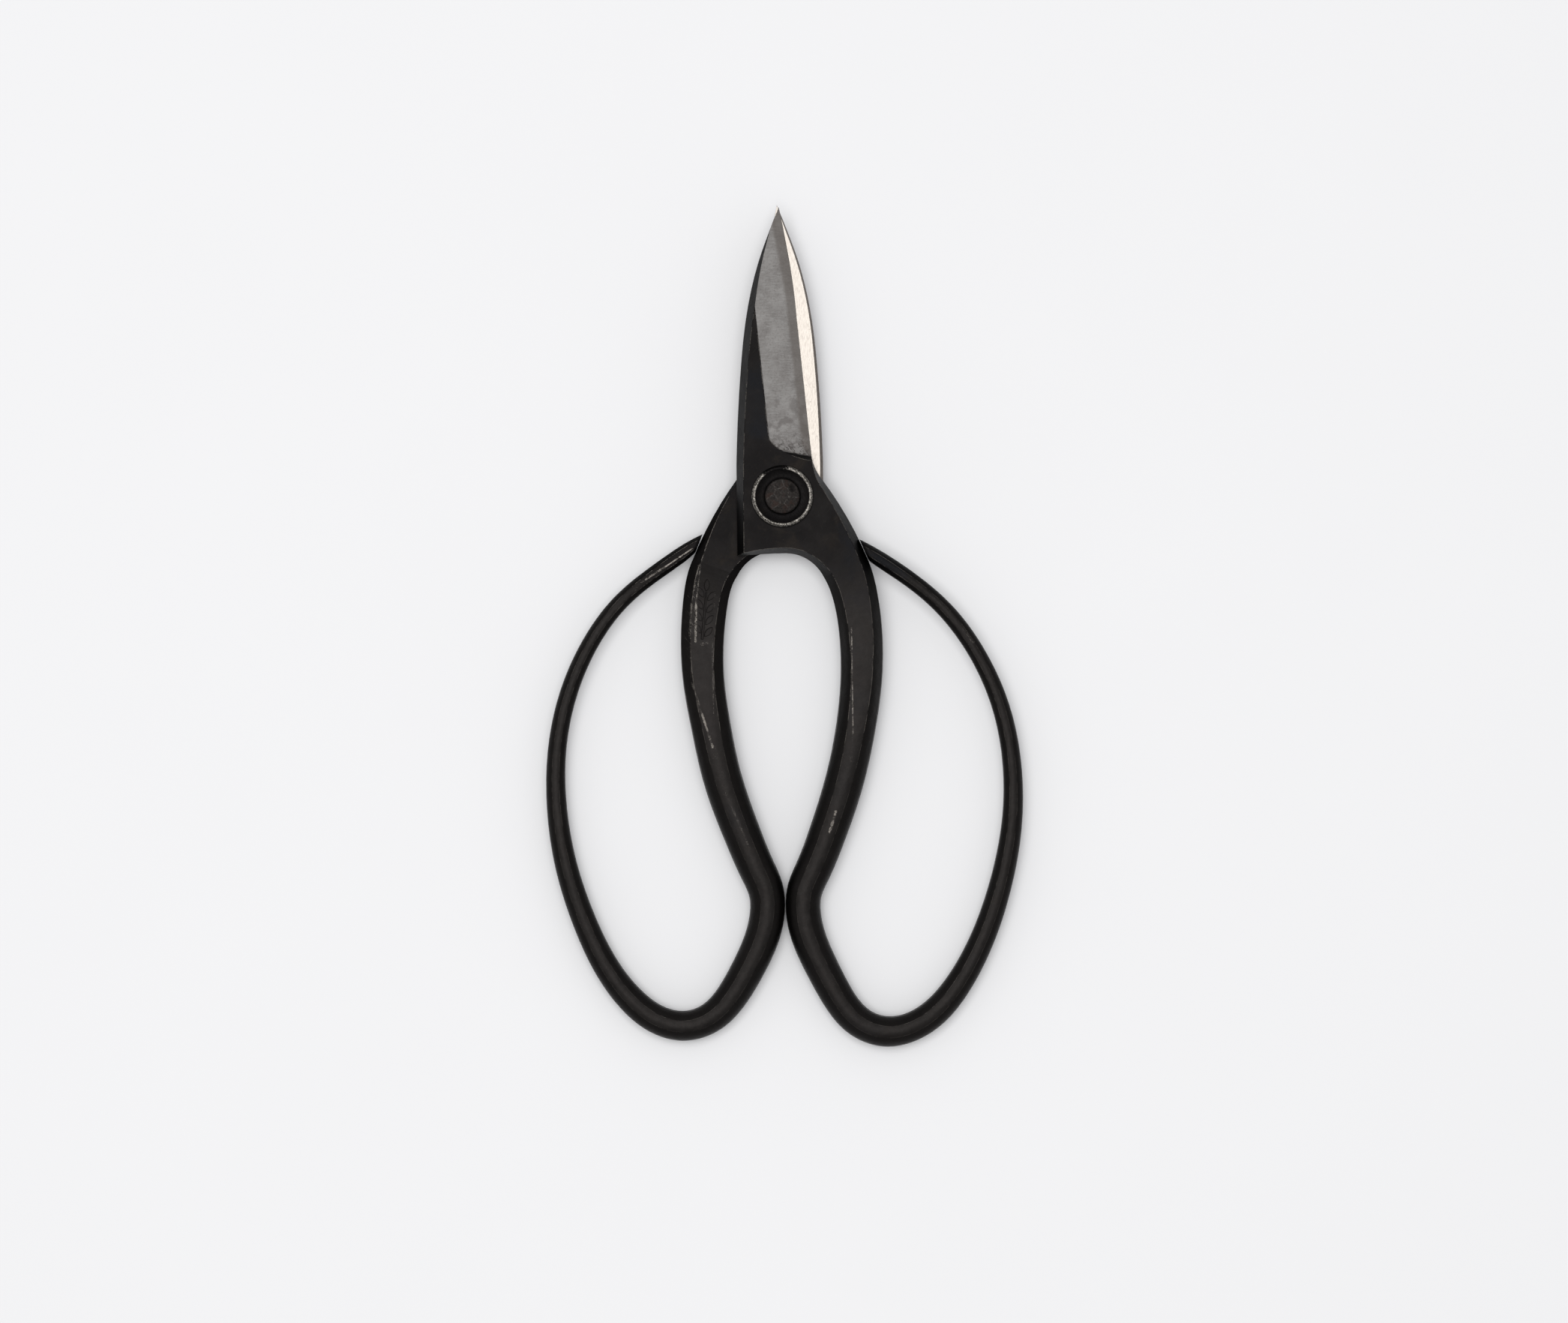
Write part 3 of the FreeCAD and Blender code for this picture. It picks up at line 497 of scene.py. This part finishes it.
def rivet_finish(name):
    """Hammered rivet: dark brownish steel, scuffed, with thin worn lines where its facets meet."""
    f = Finish(name)
    scuff = f.noise(2.6, 5.0, 0.75)
    colour = f.mix(f.step(scuff, 0.35, 0.68), RIVET_DARK, RIVET_SCUFFED)
    red = f.step(f.noise(0.8, 3.0, 0.6), 0.50, 0.66)
    colour = f.mix(f.times(red, 0.6), colour, RIVET_RED)
    arcs = f.step(f.noise(1.0, 4.0, 0.7, f.stretched((0.9, 7.0, 1.0), 40.0)), 0.56, 0.76)
    colour = f.mix(f.times(arcs, 0.4), colour, RIVET_WORN)
    ridge = f.times(f.attribute("ridge"), f.step(f.noise(2.2, 4.0, 0.7), 0.42, 0.60))
    colour = f.mix(f.times(ridge, 0.55), colour, RIVET_WORN)
    colour = f.mix(f.times(f.attribute("pit"), 0.85), colour, SCALE_DEEP_AND_SHADE)
    rough = f.blend(scuff, 0.40, 0.58)
    return f.done(colour, 1.0, rough, f.bump(scuff, 0.04))


def finish_node(node, material):
    """Gives every material slot of a CAD node the material."""
    for slot in nodes[node].material_slots:
        slot.material = material


# ------------------------------------------------------------------------------- hammered rivet, worn washers

# Points in each ring of a turned piece.
TURNS = 144


def lathe(name, rings, material, body):
    """A closed piece turned about Z. A ring is a list of points, or one point on the axis at either end."""
    points, starts, faces = [], [], []
    for ring in rings:
        starts.append(len(points))
        points += ring
    for (low, a), (high, b) in zip(zip(starts, rings), list(zip(starts, rings))[1:]):
        for k in range(TURNS):
            after = (k + 1) % TURNS
            if len(a) == 1:
                faces.append((low, high + k, high + after))
            elif len(b) == 1:
                faces.append((low + k, high, low + after))
            else:
                faces.append((low + k, high + k, high + after, low + after))
    mesh = bpy.data.meshes.new(name)
    mesh.from_pydata([Vector(p) * MM for p in points], [], faces)
    mesh.update()
    mesh.shade_smooth()
    piece = bpy.data.objects.new(name, mesh)
    bpy.context.scene.collection.objects.link(piece)
    piece.data.materials.append(material)
    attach(piece, body)
    return piece


def round_ring(radius, height):
    """One ring of a lathe, of even height."""
    if radius == 0:
        return [(0.0, 0.0, height)]
    turns = [2 * math.pi * k / TURNS for k in range(TURNS)]
    return [(radius * math.cos(t), radius * math.sin(t), height) for t in turns]


class Hammering:
    """Facets that hammer blows leave on a rivet head: a middle one and sloping ones round it.

    Two facets blend over SOFT and show a worn line over RIDGE, both measured as a difference in height.
    A pit is an oval, PIT_OVAL as wide as it is long and PIT_DEEP at its floor. PIT_FULL is how steep it is.
    """

    SOFT, RIDGE = 0.03, 0.014
    PIT_DEEP, PIT_FULL, PIT_OVAL = 0.11, 1.6, 0.8

    def __init__(self, blows, pit=None):
        """A blow is the direction it slopes to in degrees, how far from the axis it starts, and its slope."""
        self.blows = [(Vector((math.cos(a), math.sin(a))), start, slope)
                      for a, start, slope in ((math.radians(d), s, m) for d, s, m in blows)]
        self.pit = pit

    def drops(self, x, y):
        """How far each facet lies below the head's top, deepest first."""
        falls = [slope * (x * way.x + y * way.y - start) for way, start, slope in self.blows]
        return sorted(falls + [0.0], reverse=True)

    def drop(self, x, y):
        """How far the head lies below its top here, facets and pit together."""
        first, second = self.drops(x, y)[:2]
        near = max(0.0, 1.0 - (first - second) / self.SOFT)
        return first + near * near * self.SOFT / 4 + self.PIT_DEEP * self.pitted(x, y)

    def pitted(self, x, y):
        """1 on the floor of the pit and 0 outside it."""
        if not self.pit:
            return 0.0
        px, py, radius = self.pit
        distance = math.hypot(x - px, (y - py) * self.PIT_OVAL)
        return min(1.0, max(0.0, self.PIT_FULL * (1.0 - distance / radius)))

    def ridge(self, x, y):
        """1 on the line where two facets meet, 0 away from it."""
        first, second = self.drops(x, y)[:2]
        return max(0.0, 1.0 - (first - second) / self.RIDGE)


FRONT_BLOWS = Hammering([
    (8, 1.35, 0.10), (58, 1.95, 0.17), (112, 1.75, 0.11), (158, 1.85, 0.18),
    (218, 1.15, 0.10), (268, 1.50, 0.17), (322, 1.20, 0.12),
], pit=(2.25, 1.75, 0.85))
REAR_BLOWS = Hammering([
    (35, 1.60, 0.13), (92, 1.45, 0.12), (150, 1.75, 0.16),
    (205, 1.55, 0.12), (265, 1.70, 0.15), (325, 1.40, 0.13),
])
RING_STEPS = 30
# How far a head's rim is rounded down, and over what width.
RIM_ROUND, RIM_WIDE = 0.10, 0.25
# How far the heads' undersides stand off the plates, and the shank's share of a head's radius.
FRONT_SEAT, REAR_SEAT = 0.78, 0.75
SHANK_SHARE = 0.8


def head_rings(hammering, radius, top, up):
    """Rings of a rivet head from its middle to its rim, hammered, with the rim rounded over."""
    rings = [round_ring(0, top)]
    for n in range(1, RING_STEPS + 1):
        now = radius * n / RING_STEPS
        over = RIM_ROUND * max(0.0, (now - radius + RIM_WIDE) / RIM_WIDE) ** 2
        rings.append([(x, y, top - up * (hammering.drop(x, y) + over)) for x, y, _ in round_ring(now, top)])
    return rings


def hammered_rivet():
    """The rivet as it is after peening: both heads hammered, with the shank between them."""
    low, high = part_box("rivet")
    radius, bottom, top = (v * PER_METRE for v in (high.x, low.z, high.z))
    shank = SHANK_SHARE * radius
    front_seat, rear_seat = FRONT_LAND + FRONT_SEAT, REAR_LAND - REAR_SEAT
    front, rear = head_rings(FRONT_BLOWS, radius, top, 1), head_rings(REAR_BLOWS, radius, bottom, -1)
    middle = [
        round_ring(radius, front_seat), round_ring(shank, front_seat),
        round_ring(shank, rear_seat), round_ring(radius, rear_seat),
    ]
    rings = front + middle + rear[::-1]
    piece = lathe("hammered_rivet", rings, rivet_finish("rivet"), "rear")
    mesh = piece.data
    ridge = mesh.attributes.new("ridge", "FLOAT", "POINT")
    pit = mesh.attributes.new("pit", "FLOAT", "POINT")
    for k, vertex in enumerate(mesh.vertices):
        x, y, z = vertex.co * PER_METRE
        hammering = FRONT_BLOWS if z > FRONT_LAND else REAR_BLOWS
        ridge.data[k].value = hammering.ridge(x, y)
        pit.data[k].value = hammering.pitted(x, y)
    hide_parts("rivet")


# A washer's bore, the flat of its dish and the dish's thickness. The first two are distances from the axis.
BORE, DISH, DISH_THICK = 3.01, 4.3, 0.75
# How many waves wear its rim, and how far inwards for each millimetre down.
WEAR_WAVES, WEAR_INWARDS = 14, 0.6


def worn_washer(node, side, seed):
    """A washer whose rim is dented and worn uneven. Its seat, radius and height are the frame's."""
    low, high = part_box(node)
    radius = high.x * PER_METRE
    seat, top = (low.z, high.z) if side == FRONT else (high.z, low.z)
    seat, tall = seat * PER_METRE, abs(top - seat) * PER_METRE
    rng = random.Random(seed)
    waves = [
        (rng.randint(5, 40), rng.uniform(0, 2 * math.pi), rng.uniform(0.2, 1.0)) for _ in range(WEAR_WAVES)
    ]
    total = sum(size for _, _, size in waves)

    def ring(at, height, dent):
        """A ring that wear takes down by up to dent, and inwards by a share of that."""
        points = []
        for k in range(TURNS):
            turn = 2 * math.pi * k / TURNS
            wave = sum(size * math.sin(count * turn + start) for count, start, size in waves) / total
            deep = dent * (0.5 + 0.5 * wave)
            out = at - deep * WEAR_INWARDS
            points.append((out * math.cos(turn), out * math.sin(turn), seat + side * (height - deep)))
        return points

    # Distance from the axis, height over the seat, and wear, from the bore out, over the rim and back.
    profile = [
        (BORE, 0.0, 0), (radius, 0.0, 0), (radius, 0.45, 0), (radius - 0.01, 0.75, 0.03),
        (radius - 0.10, 0.94, 0.07), (radius - 0.24, 1.13, 0.08), (radius - 0.38, tall - 0.02, 0.07),
        (radius - 0.55, tall, 0.05), (radius - 0.72, tall - 0.02, 0.06), (radius - 0.84, tall - 0.08, 0.05),
        (radius - 1.1, tall - 0.20, 0.03), (radius - 1.7, 0.86, 0.01),
        (DISH, DISH_THICK, 0), (BORE, DISH_THICK, 0), (BORE, 0.0, 0),
    ]
    rings = [ring(*row) for row in profile]
    piece = lathe("worn_" + node, rings, washer_finish(node, side), "rear")
    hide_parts(node)


# --------------------------------------------------------------------------------- floor, light and camera

# Metres again, apart from the sensor, in millimetres, and the camera's roll, in degrees.
FRAME_WIDE = 0.3352
FRAME_MIDDLE = (0.0001, -0.0352)
CAMERA_HIGH = 1.4
CAMERA_ROLL = 0.43
SENSOR = 36.0
NEAREST, FARTHEST = 0.05, 20.0
# Only what is this far from the rivet head can lie on the floor with it.
CLEAR_OF_HEAD = 0.010
FLOOR_SIDE = 6.0
WORLD_COLOUR = (0.985, 0.985, 1.0, 1.0)
WORLD_STRENGTH = 0.56
SOFT_BOX_PLACE = (-0.15, 0.1, 1.75)
SOFT_BOX_SIZE = (1.2, 1.2)
SOFT_BOX_POWER = 20.5


def bow_slope(node, head):
    """How steeply a floor rises from the rear rivet head until it touches this half from below."""
    nearest = head.y - CLEAR_OF_HEAD
    return min(v.co.z / (head.y - v.co.y) for v in nodes[node].data.vertices if v.co.y < nearest)


def resting_floor():
    """A pale floor that the snips lie on with the rear rivet head's lower rim and the bows."""
    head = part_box("rivet")[0]
    slope = math.atan(min(bow_slope(node, head) for node in ("front_half", "rear_half")))
    bpy.ops.mesh.primitive_plane_add(size=FLOOR_SIDE, location=(0.0, head.y, 0.0))
    floor = bpy.context.object
    floor.name = "floor"
    floor.rotation_euler = (-slope, 0.0, 0.0)
    f = Finish("floor")
    paper = f.mix(f.noise(0.02, 2.0), PAPER_DIM, PAPER_PALE)
    floor.data.materials.append(f.done(paper, 0.0, 0.9, None))


def soft_box(name, place, size, power):
    """A soft box that faces the middle of the snips."""
    data = bpy.data.lights.new(name, "AREA")
    data.shape = "RECTANGLE"
    data.size, data.size_y = size
    data.energy = power
    light = bpy.data.objects.new(name, data)
    bpy.context.scene.collection.objects.link(light)
    light.location = place
    light.rotation_euler = (Vector((*FRAME_MIDDLE, 0.0)) - Vector(place)).to_track_quat("-Z", "Y").to_euler()


def studio():
    """Even light from all round, and a large soft box above the camera, a little up and to the left."""
    world = bpy.data.worlds.new("studio")
    world.use_nodes = True
    background = world.node_tree.nodes["Background"]
    background.inputs["Color"].default_value = WORLD_COLOUR
    background.inputs["Strength"].default_value = WORLD_STRENGTH
    bpy.context.scene.world = world
    soft_box("overhead", SOFT_BOX_PLACE, SOFT_BOX_SIZE, SOFT_BOX_POWER)
    bpy.context.scene.view_settings.view_transform = "Standard"


def camera():
    """The camera straight above the middle of the picture, turned a little about its line of sight."""
    data = bpy.data.cameras.new("camera")
    data.sensor_width = SENSOR
    data.lens = SENSOR * CAMERA_HIGH / FRAME_WIDE
    data.clip_start, data.clip_end = NEAREST, FARTHEST
    eye = bpy.data.objects.new("camera", data)
    bpy.context.scene.collection.objects.link(eye)
    eye.location = (*FRAME_MIDDLE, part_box("rivet")[1].z / 2 + CAMERA_HIGH)
    eye.rotation_euler = (0.0, 0.0, math.radians(-CAMERA_ROLL))
    bpy.context.scene.camera = eye


finish_node("front_half", forged_half("front_half", FRONT, FRONT_STREAKS))
finish_node("rear_half", forged_half("rear_half", REAR, REAR_STREAKS, file_marks))
finish_node("front_cutting_steel", cutting_steel("front_cutting_steel", FRONT))
finish_node("rear_cutting_steel", cutting_steel("rear_cutting_steel", REAR))
hammered_rivet()
worn_washer("front_washer", FRONT, 3)
worn_washer("rear_washer", REAR, 8)
resting_floor()
studio()
camera()
